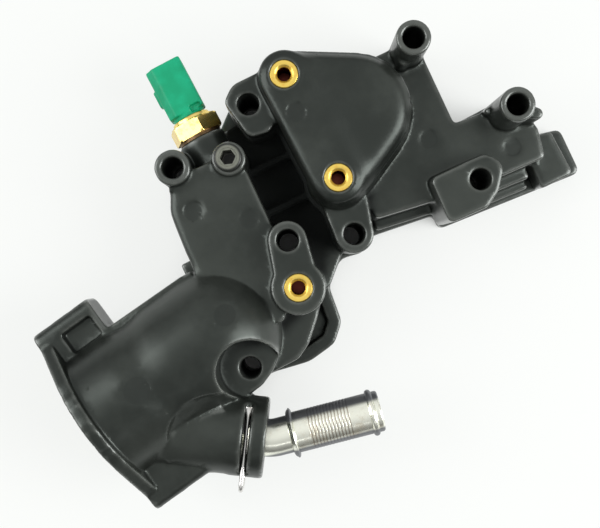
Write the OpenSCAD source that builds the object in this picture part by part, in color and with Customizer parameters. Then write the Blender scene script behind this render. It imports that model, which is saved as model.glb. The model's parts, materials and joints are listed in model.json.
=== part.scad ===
// Coolant thermostat housing: two welded shells, thermostat, sensor, bleed screw and heater stub pipe
// Millimetres. Origin at the centre of the head port on the rear face, Z points out of the front.

/* [Reaches from the head port] */
// Reach of the thermostat mouth to the left
mouth_reach = 147.8; // [140:0.2:165]
// Drop of the thermostat mouth
mouth_drop = 69.9; // [67:0.1:73]
// Reach of the arm to the right
arm_reach = 77.5; // [70:0.5:100]
// Rise of the sensor boss face
sensor_rise = 17.5; // [16:0.5:24]

/* [Shells] */
// Wall of the two mouldings
wall = 3; // [2.4:0.1:4]
// Height of the weld seam between the shells
seam_z = 8; // [6:0.5:10]
// Floor of the rear cover
cover_floor = 4; // [3:0.5:6]
// Front of the chamber behind the thermostat
body_z = 47.5; // [44:0.5:52]
// Front of the arm
arm_z = 34; // [30:0.5:38]
// Front of the duct that crosses the trench
trench_z = 22; // [18:0.5:26]
// Front of the dome over the head port
dome_z = 53; // [47:0.5:54]
// Radius of the dome
dome_r = 22.5; // [20:0.5:24]

/* [Fixing points] */
// Bolt holes through both shells
bolt_d = 8.5; // [6.5:0.1:9.5]
// Front of the two tall bosses
boss_z = 60; // [52:1:70]
// Radius of the round bosses
boss_r = 7; // [6:0.1:8]
// Front of the low lugs
lug_z = 46; // [42:0.5:50]
// Front of the pads that carry the threaded inserts
pad_z = 54.5; // [52:0.5:60]
// Radius of the insert pads
pad_r = 10.6; // [9:0.1:12]
// Outer diameter of a threaded insert
insert_d = 11; // [9:0.5:13]
// Core hole of the insert thread
insert_hole_d = 5; // [4:0.1:6.8]
// Length of a threaded insert
insert_len = 14; // [8:1:25]

/* [Thermostat mouth] */
// Radius of the thermostat barrel
barrel_r = 27.5; // [26:0.1:29]
// Bore of the barrel behind the thermostat seat
barrel_bore_r = 22.5; // [20.5:0.25:23.5]
// Depth of the thermostat seat in the mouth
seat_depth = 12; // [11:0.1:13.5]
// Half span of the two ears beside the mouth
ear_span = 42.9; // [40:0.1:48]
// Depth of the ears along the barrel
ear_depth = 27; // [20:0.5:34]
// Distance of the ear holes from the barrel axis
ear_hole_y = 36.5; // [34:0.5:39]
// Travel of the valve from cold to fully open
valve_travel = 7; // [4:0.5:9]

/* [Heater stub] */
// Radius of the stub socket
sock_r = 16.6; // [14.5:0.1:18]
// Outer diameter of the stub pipe
pipe_d = 16.8; // [15:0.1:19]
// Outer diameter of the pipe inside the socket
neck_d = 15.4; // [14:0.1:16.4]
// Straight length between the two hose beads
pipe_len = 33.3; // [20:0.5:60]
// Wire of the retaining clip
clip_wire = 2; // [1.4:0.1:2.6]

/* [Sensor and bleed screw] */
// Width of the sensor hexagon across its flats
hex_af = 19; // [17:0.5:22]
// Width of the sensor plug
plug_w = 15.5; // [13:0.5:18]
// Length of the sensor plug
plug_len = 24; // [20:0.5:32]
// Diameter of the bleed screw head
bleed_head_d = 11; // [9.5:0.5:14]

/* [Hidden] */
$fn = 64;

// Small overlap that lets a cut pass a face
eps = 0.05;
// Running clearance of pieces that slide or turn
run = 0.3;

// Centres of the bolt holes, each named for the lug or boss that it goes through
trench_lug = [-37.8, 20.1];
sensor_lug = [-75.7, 9.4];
waist_lug = [-46.5, -36];
foot_lug = [-21.2, -44.8];
barrel_lug = [-82, -76];
tall_boss_a = [30.7, 14.2];
tall_boss_b = [arm_reach - 21.2, -26.2];
block_hole = [33.8, -46.3];
bolt_holes = [trench_lug, sensor_lug, waist_lug, foot_lug, barrel_lug, tall_boss_a, tall_boss_b, block_hole];
insert_a = [-20.3, 23.5];
insert_b = [-18.1, -22.2];
insert_c = [-50.5, -54.7];
inserts = [insert_a, insert_b, insert_c];
// Flats that key an insert in the moulding
insert_flats = 12;
bleed_at = [-54, 3.2];

// Fronts that follow from the sizes above
sensor_lug_z = body_z + 2.5;
bleed_boss_z = body_z + 2.5;
barrel_lug_z = 40;
low_floor_z = 30;
end_block_z = 22;
arm_foot_z = 14;
ledge_z = arm_z - 10;
rib_z = arm_z + 6;
plinth_z = arm_z + 2.5;

// Stepped edge of the dome, each step an inset and its drop below the front
dome_steps = [[0, 4], [1.4, 1.5], [3.2, 0]];
// Duct between the chamber and the dome under the trench, and the ribs on it
cross_duct_at = [-60, -12];
cross_duct_size = [50, 17];
trench_rib_y = [-4.5, -23];
trench_rib_size = [24, 2.6, 7];
// Cross walls inside the arm, and the fins beside its tall bosses
arm_web_x = [0, 47];
fin_r = 2.4;
fin_a = tall_boss_a + [-4.8, -4.6];
fin_b = tall_boss_b + [8, -6];
// Spot face of the barrel lug and the catch beside the barrel
spot_r = 12.3;
tab_at = [-92, -32, 14];
tab_size = [9, 6.5, 8];
// Hole of the bleed screw and the vent that meets it
bleed_hole_r = 4;
bleed_hole_len = 14;
bleed_shank_len = 9;
bleed_seal_t = 1.3;
bleed_head_h = 4.6;
bleed_key_af = 5.5;
vent_r = 1.6;
vent_len = 11;
vent_drop = 8;

// Thermostat barrel
barrel_z = 36;
mouth_at = [-mouth_reach, -mouth_drop, barrel_z];
mouth_turn = 11;
dome_end = mouth_reach - 88.8;
mouth_flange_r = barrel_r + 3.5;
mouth_flange_t = 5.5;
mouth_step_r = barrel_r + 0.8;
mouth_step = 26;
// Flat strip along the upper flank of the barrel, half its height and its end from the mouth
flank_half = 9.5;
flank_end = dome_end + 8;
waist_r = barrel_r - 0.9;
counter_r = barrel_bore_r + 2.5;
ear_half = 10;
ear_hole_d = 6.6;
ear_hole_len = ear_depth - 7;
ear_pocket = 4;
ear_pocket_from = 10.5;
relief_r = barrel_r - 1.5;
duct_r = 14;
duct_y = 8;
duct_end = dome_end + 13;

// Heater stub
sock_at = [-88.4, -105, barrel_z];
sock_turn = -31;
sock_len = 2 * barrel_bore_r;
sock_face_len = 14;
sock_step = 0.4;
sock_bore_len = 24;
relief_gap = 1.4;
relief_reach = [-20, 4];
sock_flow_r = 6;
pipe_bend = 20.4;
pipe_bend_r = 14;
pipe_wall = 1.4;
neck_len = 22;
collar_h = 0.2;
neck_bead_r = neck_d / 2 + 1.9;
neck_bead_t = 1.8;
sock_bore_r = neck_bead_r + 0.4;
pipe_seal_at = -19;
pipe_seal_t = 3;
hose_from = 6;
hose_stop_r = pipe_d / 2 + 2.1;
hose_stop_t = 2.2;
hose_bead_r = pipe_d / 2 + 1.2;
hose_tip = 3.8;
clip_at = -8;
clip_x = neck_d / 2 + clip_wire / 2 + run;
clip_top = 13;
clip_foot = -18.4;
clip_bend = 2.6;
clip_slot = clip_wire + 2 * run;
bead_front = clip_at - clip_wire / 2 - run;

// Sensor, leaning a little from +Y, and the turn of its hexagon
sensor_at = [-61.1, sensor_rise, 32];
sensor_turn = 2.9;
hex_turn = -15;
sensor_boss_r = 9.8;
sensor_boss_len = sensor_rise + 4.5;
sensor_block_back = 1.8;
sensor_shank_r = 6;
sensor_shank_len = sensor_boss_len - 2;
sensor_probe_r = 4;
sensor_probe_len = sensor_shank_len + 11;
sensor_collar_r = 8;
sensor_seal_t = 1.2;
hex_t = 6.8;
plug_from = 9.5;
plug_h = 14;
plug_wall = 2;
plug_depth = 15;
plug_corner = 1.5;
plug_neck_r = plug_h / 2 - 0.2;
plug_neck_len = 4;
latch_size = [2, 5, 7];
latch_from = 9;
contact_x = [-2.5, 2.5];
contact_w = 2.4;
contact_t = 0.8;
contact_from = plug_from + plug_neck_len;
contact_len = plug_len - 7.5;

// Head port
port_r = 16;
seal_in = 18.5;
seal_out = 21.5;
seal_t = 2.4;

// Ribs inside the rear cover
cover_rib_a = [9, -20];
cover_rib_b = [-63, -47];
cover_rib_len = 90;

// Thermostat along the mouth axis, measured from the mouth
seal_h = 3.8;
flange_t = 1;
flange_in = seat_depth - 1.4;
flange_out = flange_in - flange_t;
flange_r = counter_r - 1;
bridge_s = flange_out - 8;
seat_r = 14.5;
valve_r = 16.2;
cage_s = seat_depth + 17;
capsule_r = 7;
capsule_end = cage_s + 4;
stem_end = capsule_end + 8.5;
bypass_s = stem_end - 2.6;
bore_end = stem_end + valve_travel;
pin_r = 2;
pin_from = bridge_s + 0.4;
pin_end = flange_in + valve_travel + 2;
bridge_half = 4;
bridge_t = 1.6;
leg_y = 18.2;
leg_t = 1.4;
leg_half = 4.2;
cage_t = 1.2;
cage_r = 13.2;
capsule_neck_r = 4.5;
capsule_neck_rise = 3;
capsule_neck_len = 10;
capsule_from = seat_depth + 4;
valve_hub_h = 3.8;
pin_seat = 5;
bridge_foot = 20;
bridge_top = 6.5;
bridge_boss_r = 3.4;
stem_r = 2.5;
valve_t = 1.2;
valve_in = flange_in + 0.1 + valve_t;
main_coil_r = 11;
main_wire = 1.8;
main_turns = 4.5;
bypass_r = 13;
bypass_t = 1.4;
bypass_coil_r = 5;
bypass_wire = 1;
bypass_turns = 2.5;

// Points of an arc around c between two angles
function arc(c, r, a, b, n = 12) =
    [for (i = [0:n]) c + r * [cos(a + (b - a) * i / n), sin(a + (b - a) * i / n)]];

// Outline of two circles joined by their outer tangents
function bar(p, rp, q, rq) =
    let (a = atan2(q[1] - p[1], q[0] - p[0]), w = acos((rp - rq) / norm(q - p)))
    concat(arc(q, rq, a - w, a + w), arc(p, rp, a + w, a + 360 - w));

// Rounded corner c between its neighbours p and q, each given as x, y and radius
function corner(p, c, q) =
    let (o = [c[0], c[1]],
        u = [p[0] - c[0], p[1] - c[1]] / norm([p[0] - c[0], p[1] - c[1]]),
        v = [q[0] - c[0], q[1] - c[1]] / norm([q[0] - c[0], q[1] - c[1]]),
        h = acos(u * v) / 2,
        m = o + (u + v) / norm(u + v) * c[2] / sin(h),
        s = o + u * c[2] / tan(h) - m,
        e = o + v * c[2] / tan(h) - m,
        a = atan2(s[1], s[0]),
        d = atan2(s[0] * e[1] - s[1] * e[0], s * e))
    c[2] == 0 ? [o] : arc(m, c[2], a, a + d, 6);

// Outline through rounded corners
function rounded(c) =
    [for (i = [0:len(c) - 1]) each corner(c[(i + len(c) - 1) % len(c)], c[i], c[(i + 1) % len(c)])];

// Prism of a flat outline between two heights
module prism(low, high) {
    translate([0, 0, low]) linear_extrude(high - low) children();
}

// Frames of the mouth, the stub socket and the sensor, with their Z along the axis of each
module at_mouth() {
    translate(mouth_at) rotate([0, 0, mouth_turn]) rotate([0, 90, 0]) children();
}
module at_socket() {
    translate(sock_at) rotate([0, 0, sock_turn]) rotate([0, 90, 0]) children();
}
module at_sensor() {
    translate(sensor_at) rotate([0, 0, sensor_turn]) rotate([-90, 0, 0]) children();
}

// Ring between two radii
module ring(r_out, r_in, low, high) {
    difference() {
        translate([0, 0, low]) cylinder(r = r_out, h = high - low);
        translate([0, 0, low - 1]) cylinder(r = r_in, h = high - low + 2);
    }
}

// Outlines of the shell, shrunk by the given inset
module body_outline() {
    polygon(rounded([[-49.6, 5, 4], [-79, 6, 5], [-85, -6, 8], [-86, -24, 10], [-84.5, -46, 3],
        [-62, -66, 3], [-49.6, -46, 3]]));
}
module low_outline() {
    polygon(rounded([[-47, -40, 2], [-41.5, -60, 3], [-49, -70, 6], [-56.5, -78, 4], [-63, -82, 5],
        [-84, -83, 5], [-92, -74, 6], [-86, -50, 6]]));
}
module trench_outline() {
    polygon(rounded([[-30, 20, 2], [-56, 17, 2], [-56, -40, 2], [-46, -62, 3], [-38.5, -60.5, 3],
        [-26, -48, 3], [-20, -20, 2]]));
}
module dome_outline(inset) {
    polygon(bar(insert_a, pad_r - inset, [0, 0], dome_r - inset));
    polygon(bar(insert_b, pad_r + 1.4 - inset, [0, 0], dome_r - inset));
    polygon(bar(insert_a, pad_r - inset, insert_b, pad_r - inset));
}
module arm_outline() {
    polygon(rounded([[-12, 17.8, 2], [25, 17.8, 2], [36, 12, 4], [36, -20.8, 1],
        [arm_reach - 16.5, -22.5, 3], [arm_reach - 11, -37, 3], [arm_reach - 13.5, -49.5, 2],
        [30, -48.6, 2], [-10, -43, 2]]));
}
module ledge_outline() {
    polygon(rounded([[36, -40, 1], [36, -53.5, 1], [arm_reach - 20.5, -54.5, 1], [arm_reach - 20, -40, 1]]));
}
module arm_foot_outline() {
    polygon(rounded([[-8, -36, 1], [-10.5, -47.5, 1], [16, -51, 1], [16.5, -57, 1], [38, -57.5, 2],
        [arm_reach - 20.5, -58.4, 1], [arm_reach - 17.5, -40, 1]]));
}
module end_outline() {
    polygon(rounded([[arm_reach - 17.5, -39, 1], [arm_reach - 3.5, -40, 2], [arm_reach - 2.5, -60.5, 2],
        [arm_reach - 17.5, -61, 1]]));
}
module block_outline() {
    polygon(rounded([[15.5, -37.5, 2.5], [30, -37.5, 2], block_tip(50), block_tip(5), [38.4, -53.5, 2],
        [31.5, -57.7, 2], [15, -57.4, 2.5]]));
}
function block_tip(a) = [block_hole[0] + 11 * cos(a), block_hole[1] + 11 * sin(a), 5];
module trench_lug_outline() {
    polygon(rounded([[-26, 30.2, 0], [-40.5, 29.9, 7], [-46.6, 24.8, 4], [-43.2, 7.6, 4], [-34.5, 6.6, 2],
        [-26, 12, 0]]));
}
module barrel_lug_outline() {
    polygon(rounded([[-66.5, -60, 3], [-66, -68, 6], [-74, -81, 7], [-81, -85, 4], [-91, -85, 4],
        [-96, -70, 4], [-84, -56, 4]]));
}
module cover_outline() {
    pad_edge = insert_a[1] + pad_r + 0.4;
    polygon(rounded([[-83.5, 8, 8], [-81, 18.5, 5], [-56, 18.5, 2], [-46, 27.5, 8], [-29, pad_edge, 6],
        [-12, pad_edge, 8], [0.4 * dome_r, 0.911 * dome_r, 4], [22, 18.5, 3], [25, 21.5, 4],
        [38.5, 21.5, 7], [37, -19.8, 2],
        [49, -19.2, 3], [arm_reach - 13.5, -18.5, 8], [arm_reach - 9.5, -38, 2],
        [arm_reach + 4.3, -41, 3], [arm_reach + 4.4, -62, 3], [16, -58.5, 2],
        [16, -52, 2], [-13, -48.8, 4], [-19, -53.6, 4], [-29, -52, 5], [-38.6, -61, 5],
        [-40, -77, 7], [-47, -84.5, 7], [-60, -87, 8], [-77, -84.5, 4], [-86, -85, 6],
        [-92, -77, 6], [-86.5, -46, 8], [-86.5, -22, 8]]));
}

// Solid of the front shell before it is cored
module front_solid() {
    prism(seam_z, body_z) body_outline();
    prism(seam_z, trench_z) trench_outline();
    prism(seam_z, low_floor_z) low_outline();
    prism(seam_z, arm_z) arm_outline();
    prism(seam_z, arm_foot_z) arm_foot_outline();
    prism(seam_z, ledge_z) ledge_outline();
    prism(seam_z, rib_z) polygon(bar(tall_boss_b, 4, tall_boss_b + [-6.8, 3.7], 1.6));
    prism(seam_z, end_block_z) end_outline();
    prism(seam_z, plinth_z) dome_outline(-1.2);
    for (step = dome_steps) prism(seam_z, dome_z - step[1]) dome_outline(step[0]);
    prism(seam_z, pad_z) polygon(bar(insert_a, pad_r, insert_b, pad_r));
    prism(seam_z, lug_z) block_outline();
    prism(seam_z, barrel_lug_z) barrel_lug_outline();
    at_sensor() translate([0, 0, -sensor_boss_len]) cylinder(r = sensor_boss_r, h = sensor_boss_len);
    translate([sensor_at[0] - sensor_boss_r + 1, 0, seam_z])
        cube([2 * sensor_boss_r - 2, sensor_at[1] - sensor_block_back, sensor_at[2] - seam_z]);
    barrel();
    socket();
    lower_tab();
}

// Thermostat barrel with its rounded end, mouth flange and two ears
module barrel() {
    at_mouth() {
        cylinder(r = relief_r, h = dome_end);
        translate([0, 0, dome_end]) sphere(r = barrel_r);
        for (side = [-1, 1])
            linear_extrude(mouth_flange_t)
                polygon(bar([0, 0], mouth_flange_r, [0, side * (ear_span - ear_half)], ear_half));
        for (side = [-1, 1])
            linear_extrude(ear_depth)
                polygon(rounded([[-ear_half, side * 20, 0], [ear_half, side * 20, 0],
                    [ear_half, side * ear_span, 4], [-ear_half, side * ear_span, 4]]));
    }
    translate([0, 0, barrel_z - flank_half]) linear_extrude(2 * flank_half)
        polygon([mouth_on(ear_depth - 1, barrel_bore_r), mouth_on(flank_end, barrel_bore_r),
            mouth_on(flank_end, barrel_r), mouth_on(ear_depth - 1, mouth_step_r)]);
    difference() {
        at_mouth() {
            rotate_extrude() polygon([[0, 1], [mouth_step_r, 1], [mouth_step_r, mouth_step - 3],
                [waist_r, mouth_step + 5], [waist_r, mouth_step + 8], [barrel_r, mouth_step + 15],
                [barrel_r, dome_end], [0, dome_end]]);
        }
        translate([0, 0, barrel_z])
            linear_extrude(2 * barrel_r)
                polygon(bar(sock_on(relief_reach[0]), sock_r + relief_gap,
                    sock_on(relief_reach[1]), sock_r + relief_gap));
    }
}

// Point at a depth behind the mouth and a distance to the side of its axis, seen from the front
function mouth_on(s, w) = [mouth_at[0] + s * cos(mouth_turn) - w * sin(mouth_turn),
    mouth_at[1] + s * sin(mouth_turn) + w * cos(mouth_turn)];

// Point on the socket axis seen from the front
function sock_on(t) = [sock_at[0] + t * cos(sock_turn), sock_at[1] + t * sin(sock_turn)];

// Socket of the heater stub
module socket() {
    at_socket() {
        translate([0, 0, -sock_len]) cylinder(r = sock_r - sock_step, h = sock_len - sock_step);
        translate([0, 0, -sock_face_len]) cylinder(r = sock_r, h = sock_face_len);
    }
}

// Small catch beside the barrel
module lower_tab() {
    translate(tab_at) cube(tab_size);
}

// Coolant space of the front shell
module front_core() {
    prism(seam_z - 1, body_z - wall) difference() {
        offset(delta = -wall) body_outline();
        for (p = [sensor_lug, bleed_at, waist_lug]) translate(p) circle(r = boss_r + 0.6);
        translate(insert_c) circle(r = pad_r - 2);
    }
    prism(seam_z - 1, low_floor_z - wall) difference() {
        offset(delta = -wall) union() {
            low_outline();
            barrel_lug_outline();
        }
        translate(barrel_lug) circle(r = boss_r + 2.5);
        translate(insert_c) circle(r = pad_r - 2);
    }
    prism(seam_z - 1, lug_z - wall) difference() {
        offset(delta = -wall) block_outline();
        translate(block_hole) circle(r = boss_r + 1.5);
    }
    prism(seam_z - 1, trench_z - wall) translate(cross_duct_at) square(cross_duct_size);
    prism(seam_z - 1, dome_z - wall) difference() {
        dome_outline(wall + 1);
        for (p = inserts) translate(p) circle(r = pad_r - 2);
    }
    prism(seam_z - 1, arm_z - wall) difference() {
        offset(delta = -wall) arm_outline();
        for (p = [tall_boss_a, tall_boss_b]) translate(p) circle(r = boss_r + 0.6);
        translate(foot_lug) circle(r = boss_r + 1.5);
        translate(block_hole) circle(r = boss_r + 1.5);
        for (x = arm_web_x) translate([x, -arm_reach / 2]) square([wall, arm_reach], center = true);
    }
    barrel_core();
}

// Bore of the barrel and the duct that leads from it into the chamber
module barrel_core() {
    at_mouth() {
        translate([0, 0, -1]) cylinder(r = counter_r, h = seat_depth + 1);
        translate([0, 0, seat_depth - 1]) cylinder(r = barrel_bore_r, h = bore_end - seat_depth + 1);
        translate([0, duct_y, bore_end - 1]) cylinder(r = duct_r, h = duct_end - bore_end + 1);
    }
}

// Bosses, pads and ribs that stand in the cored shell
module front_bosses() {
    prism(seam_z, pad_z) polygon(bar(waist_lug, 7.8, insert_c, 8.6));
    translate([insert_c[0], insert_c[1], seam_z]) cylinder(r = pad_r + 0.3, h = pad_z - seam_z);
    prism(seam_z, lug_z) trench_lug_outline();
    prism(seam_z, lug_z) polygon(bar(foot_lug, 7.9, insert_b + [0, -3], 9.8));
    translate([sensor_lug[0], sensor_lug[1], seam_z]) cylinder(r = boss_r + 0.3, h = sensor_lug_z - seam_z);
    translate([bleed_at[0], bleed_at[1], seam_z]) cylinder(r = boss_r - 0.1, h = bleed_boss_z - seam_z);
    for (p = [tall_boss_a, tall_boss_b])
        translate([p[0], p[1], seam_z]) cylinder(r = boss_r, h = boss_z - seam_z);
    translate([fin_a[0], fin_a[1], seam_z]) cylinder(r = fin_r, h = arm_z + 14 - seam_z);
    prism(seam_z, boss_z - 10) polygon(bar(tall_boss_b, boss_r / 2, fin_b, fin_r));
    for (y = trench_rib_y)
        translate([-51, y, trench_z - 1]) cube(trench_rib_size);
}

// Holes that are cut last
module front_holes() {
    for (p = bolt_holes)
        translate([p[0], p[1], -1]) cylinder(d = bolt_d, h = boss_z + 2);
    for (p = inserts)
        translate([p[0], p[1], pad_z - insert_len])
            cylinder(d = insert_d, h = insert_len + 1, $fn = insert_flats);
    translate([barrel_lug[0], barrel_lug[1], barrel_lug_z]) cylinder(r = spot_r, h = 2 * barrel_r);
    translate([bleed_at[0], bleed_at[1], bleed_boss_z - bleed_hole_len])
        cylinder(r = bleed_hole_r, h = bleed_hole_len + 1);
    translate([bleed_at[0] - vent_len, bleed_at[1] - 2, bleed_boss_z - vent_drop])
        rotate([0, 90, 0]) cylinder(r = vent_r, h = vent_len);
    at_sensor() translate([0, 0, -sensor_boss_len]) cylinder(r = sensor_shank_r, h = sensor_boss_len + 1);
    at_mouth() {
        for (side = [-1, 1])
            translate([0, side * ear_hole_y, -1]) cylinder(d = ear_hole_d, h = ear_hole_len + 1);
        translate([-2 * ear_half, mouth_step_r - 1, ear_pocket_from])
            cube([ear_half + ear_pocket, ear_hole_y - mouth_step_r + 1, ear_depth - ear_pocket_from - wall]);
    }
    at_socket() {
        translate([0, 0, -sock_bore_len]) cylinder(r = sock_bore_r, h = sock_bore_len + 1);
        translate([0, 0, -sock_len]) cylinder(r = sock_flow_r, h = sock_len);
        translate([-sock_r - 1, -sock_r - 1, clip_at - clip_slot / 2])
            cube([sock_r + 1 - clip_x + clip_slot / 2, 2 * sock_r + 2, clip_slot]);
        translate([clip_x - clip_slot / 2, -sock_r - 1, clip_at - clip_slot / 2])
            cube([clip_slot, 2 * sock_r + 2, clip_slot]);
    }
}

module front_housing() {
    color([0.2, 0.21, 0.2])
    difference() {
        union() {
            difference() {
                front_solid();
                front_core();
            }
            difference() {
                front_bosses();
                barrel_core();
            }
        }
        front_holes();
    }
}

module rear_cover() {
    color([0.16, 0.17, 0.16])
    difference() {
        prism(0, seam_z) cover_outline();
        prism(cover_floor, seam_z + 1) difference() {
            offset(delta = -2 * wall) cover_outline();
            for (p = bolt_holes) translate(p) circle(r = boss_r + 1);
            circle(r = seal_out + 1);
            translate(cover_rib_a) square([wall, cover_rib_len], center = true);
            translate(cover_rib_b) square([cover_rib_len, wall], center = true);
        }
        for (p = bolt_holes)
            translate([p[0], p[1], -1]) cylinder(d = bolt_d, h = seam_z + 2);
        translate([0, 0, -1]) cylinder(r = port_r, h = seam_z + 2);
        ring(seal_out, seal_in, -1, seal_t);
    }
}

module head_seal() {
    color([0.08, 0.08, 0.09]) ring(seal_out, seal_in, 0, seal_t);
}

module brass_inserts() {
    color([0.85, 0.65, 0.25])
    for (p = inserts)
        translate([p[0], p[1], 0]) difference() {
            translate([0, 0, pad_z - insert_len]) cylinder(d = insert_d, h = insert_len, $fn = insert_flats);
            translate([0, 0, pad_z - insert_len - 1]) cylinder(d = insert_hole_d, h = insert_len + 2);
            translate([0, 0, pad_z - 1])
                cylinder(d1 = insert_hole_d, d2 = insert_hole_d + 2.4, h = 1.2);
        }
}

module sensor_body() {
    color([0.88, 0.72, 0.4])
    at_sensor() {
        translate([0, 0, sensor_seal_t]) rotate([0, 0, hex_turn])
            cylinder(d = hex_af / cos(30), h = hex_t, $fn = 6);
        translate([0, 0, sensor_seal_t + hex_t - eps])
            cylinder(r = sensor_collar_r, h = plug_from - sensor_seal_t - hex_t + eps);
        translate([0, 0, -sensor_shank_len])
            cylinder(r = sensor_shank_r, h = sensor_shank_len + sensor_seal_t + eps);
        translate([0, 0, -sensor_probe_len])
            cylinder(r = sensor_probe_r, h = sensor_probe_len - sensor_shank_len + eps);
    }
}

module sensor_connector() {
    color([0.1, 0.6, 0.45])
    at_sensor() difference() {
        union() {
            translate([0, 0, plug_from]) cylinder(r = plug_neck_r, h = plug_neck_len);
            translate([0, 0, plug_from + plug_neck_len / 2]) linear_extrude(plug_len - plug_neck_len / 2)
                polygon(rounded([for (c = [[-1, -1], [1, -1], [1, 1], [-1, 1]])
                    [c[0] * plug_w / 2, c[1] * plug_h / 2, plug_corner]]));
            translate([-plug_w / 2 - latch_size[0] / 2, -latch_size[1] / 2, plug_from + latch_from])
                cube(latch_size);
        }
        translate([0, 0, plug_from + plug_len - plug_depth]) linear_extrude(plug_depth + 1)
            square([plug_w - 2 * plug_wall, plug_h - 2 * plug_wall], center = true);
        for (x = contact_x)
            translate([x - contact_w / 2, -contact_t / 2, contact_from])
                cube([contact_w, contact_t, plug_len]);
        translate([2, -plug_h / 2 - 1, plug_from + 1]) cube([4.5, 3, 2.6]);
    }
}

module sensor_pins() {
    color([0.8, 0.8, 0.78])
    at_sensor()
        for (x = contact_x)
            translate([x - contact_w / 2, -contact_t / 2, contact_from])
                cube([contact_w, contact_t, contact_len]);
}

module sensor_seal() {
    color([0.72, 0.42, 0.25]) at_sensor() ring(hex_af / 2 - 0.4, sensor_shank_r, 0, sensor_seal_t);
}

// Low collar where two lengths of the pipe meet
module pipe_collar() {
    ring(neck_d / 2 + collar_h, (neck_d - pipe_wall) / 2, -1, 1);
}

// Neck and bend of the pipe as tubes on one centre line
module pipe_neck() {
    at_socket() ring(neck_d / 2, neck_d / 2 - pipe_wall, -neck_len, 0);
    translate(sock_at) rotate([0, 0, sock_turn])
        translate([0, pipe_bend_r, 0]) rotate([0, 0, -90])
            rotate_extrude(angle = pipe_bend) translate([pipe_bend_r, 0]) difference() {
                circle(d = neck_d);
                circle(d = neck_d - 2 * pipe_wall);
            }
}

// Frame at the end of the bend with Z along the hose end
module at_hose() {
    translate(sock_at) rotate([0, 0, sock_turn])
        translate([pipe_bend_r * sin(pipe_bend), pipe_bend_r * (1 - cos(pipe_bend)), 0])
            rotate([0, 0, pipe_bend]) rotate([0, 90, 0]) children();
}

module stub_pipe() {
    bore_r = neck_d / 2 - pipe_wall;
    bead_z = hose_from + pipe_len;
    color([0.82, 0.82, 0.8]) {
        pipe_neck();
        at_socket() ring(neck_bead_r, bore_r + pipe_wall / 2, bead_front - neck_bead_t, bead_front);
        at_socket() pipe_collar();
        at_hose() {
            pipe_collar();
            ring(neck_d / 2, bore_r, 0, hose_from);
            rotate_extrude() polygon([[bore_r, hose_from - 1], [hose_stop_r, hose_from - 1],
                [hose_stop_r, hose_from - 1 + hose_stop_t], [pipe_d / 2, hose_from - 1 + hose_stop_t],
                [pipe_d / 2, bead_z - 1.2], [hose_bead_r, bead_z], [hose_bead_r, bead_z + 0.4],
                [pipe_d / 2, bead_z + 1.6], [pipe_d / 2, bead_z + hose_tip], [bore_r, bead_z + hose_tip]]);
        }
    }
}

module pipe_seal() {
    color([0.08, 0.08, 0.09])
    at_socket() ring(sock_bore_r, neck_d / 2, pipe_seal_at, pipe_seal_at + pipe_seal_t);
}

// U shaped wire clip across the socket, its bow on the outer side
module pipe_clip() {
    color([0.8, 0.81, 0.82])
    at_socket() translate([0, 0, clip_at]) {
        for (side = [-1, 1]) {
            translate([side * clip_x, clip_foot, 0])
                rotate([-90, 0, 0]) cylinder(d = clip_wire, h = clip_top - clip_foot, $fn = 24);
            translate([side * (clip_x - clip_bend), clip_foot, 0]) rotate([0, 0, side > 0 ? -90 : 180])
                rotate_extrude(angle = 90) translate([clip_bend, 0]) circle(d = clip_wire, $fn = 24);
        }
        translate([clip_bend - clip_x, clip_foot - clip_bend, 0])
            rotate([0, 90, 0]) cylinder(d = clip_wire, h = 2 * (clip_x - clip_bend), $fn = 24);
    }
}

module thermostat_seal() {
    color([0.07, 0.07, 0.08])
    at_mouth() difference() {
        ring(counter_r, flange_r - 1.3, seat_depth - seal_h, seat_depth);
        translate([0, 0, flange_out]) cylinder(r = flange_r, h = flange_t);
    }
}

module thermostat_flange() {
    color([0.78, 0.76, 0.7])
    at_mouth() difference() {
        union() {
            translate([0, 0, flange_out]) cylinder(r = flange_r, h = flange_t);
            translate([-bridge_half, 0, 0]) rotate([90, 0, 90]) linear_extrude(2 * bridge_half)
                polygon([[-bridge_foot, flange_out + eps], [-bridge_foot + 2.5, flange_out + eps],
                    [1 - bridge_top, bridge_s + bridge_t], [bridge_top - 1, bridge_s + bridge_t],
                    [bridge_foot - 2.5, flange_out + eps], [bridge_foot, flange_out + eps],
                    [bridge_top, bridge_s], [-bridge_top, bridge_s]]);
            translate([0, 0, bridge_s - 0.6]) cylinder(r = bridge_boss_r, h = 4);
        }
        translate([0, 0, flange_out - 1]) cylinder(r = seat_r, h = flange_t + 2);
        translate([0, 0, pin_from]) cylinder(r = pin_r, h = pin_seat);
        for (side = [-1, 1])
            translate([-leg_half, side * leg_y - leg_t / 2, flange_out - 1])
                cube([2 * leg_half, leg_t, flange_t + 2]);
    }
}

module thermostat_cage() {
    color([0.75, 0.73, 0.68])
    at_mouth() difference() {
        union() {
            for (side = [-1, 1])
                translate([-leg_half, side * leg_y - leg_t / 2, flange_out])
                    cube([2 * leg_half, leg_t, cage_s - flange_out + cage_t]);
            translate([-leg_half, -leg_y, cage_s]) cube([2 * leg_half, 2 * leg_y, cage_t]);
            translate([0, 0, cage_s]) cylinder(r = cage_r, h = cage_t);
        }
        translate([0, 0, cage_s - 1]) cylinder(r = capsule_r + run, h = 4);
    }
}

module piston_pin() {
    color([0.8, 0.8, 0.8])
    at_mouth() translate([0, 0, pin_from]) cylinder(r = pin_r, h = pin_end - pin_from);
}

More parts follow.
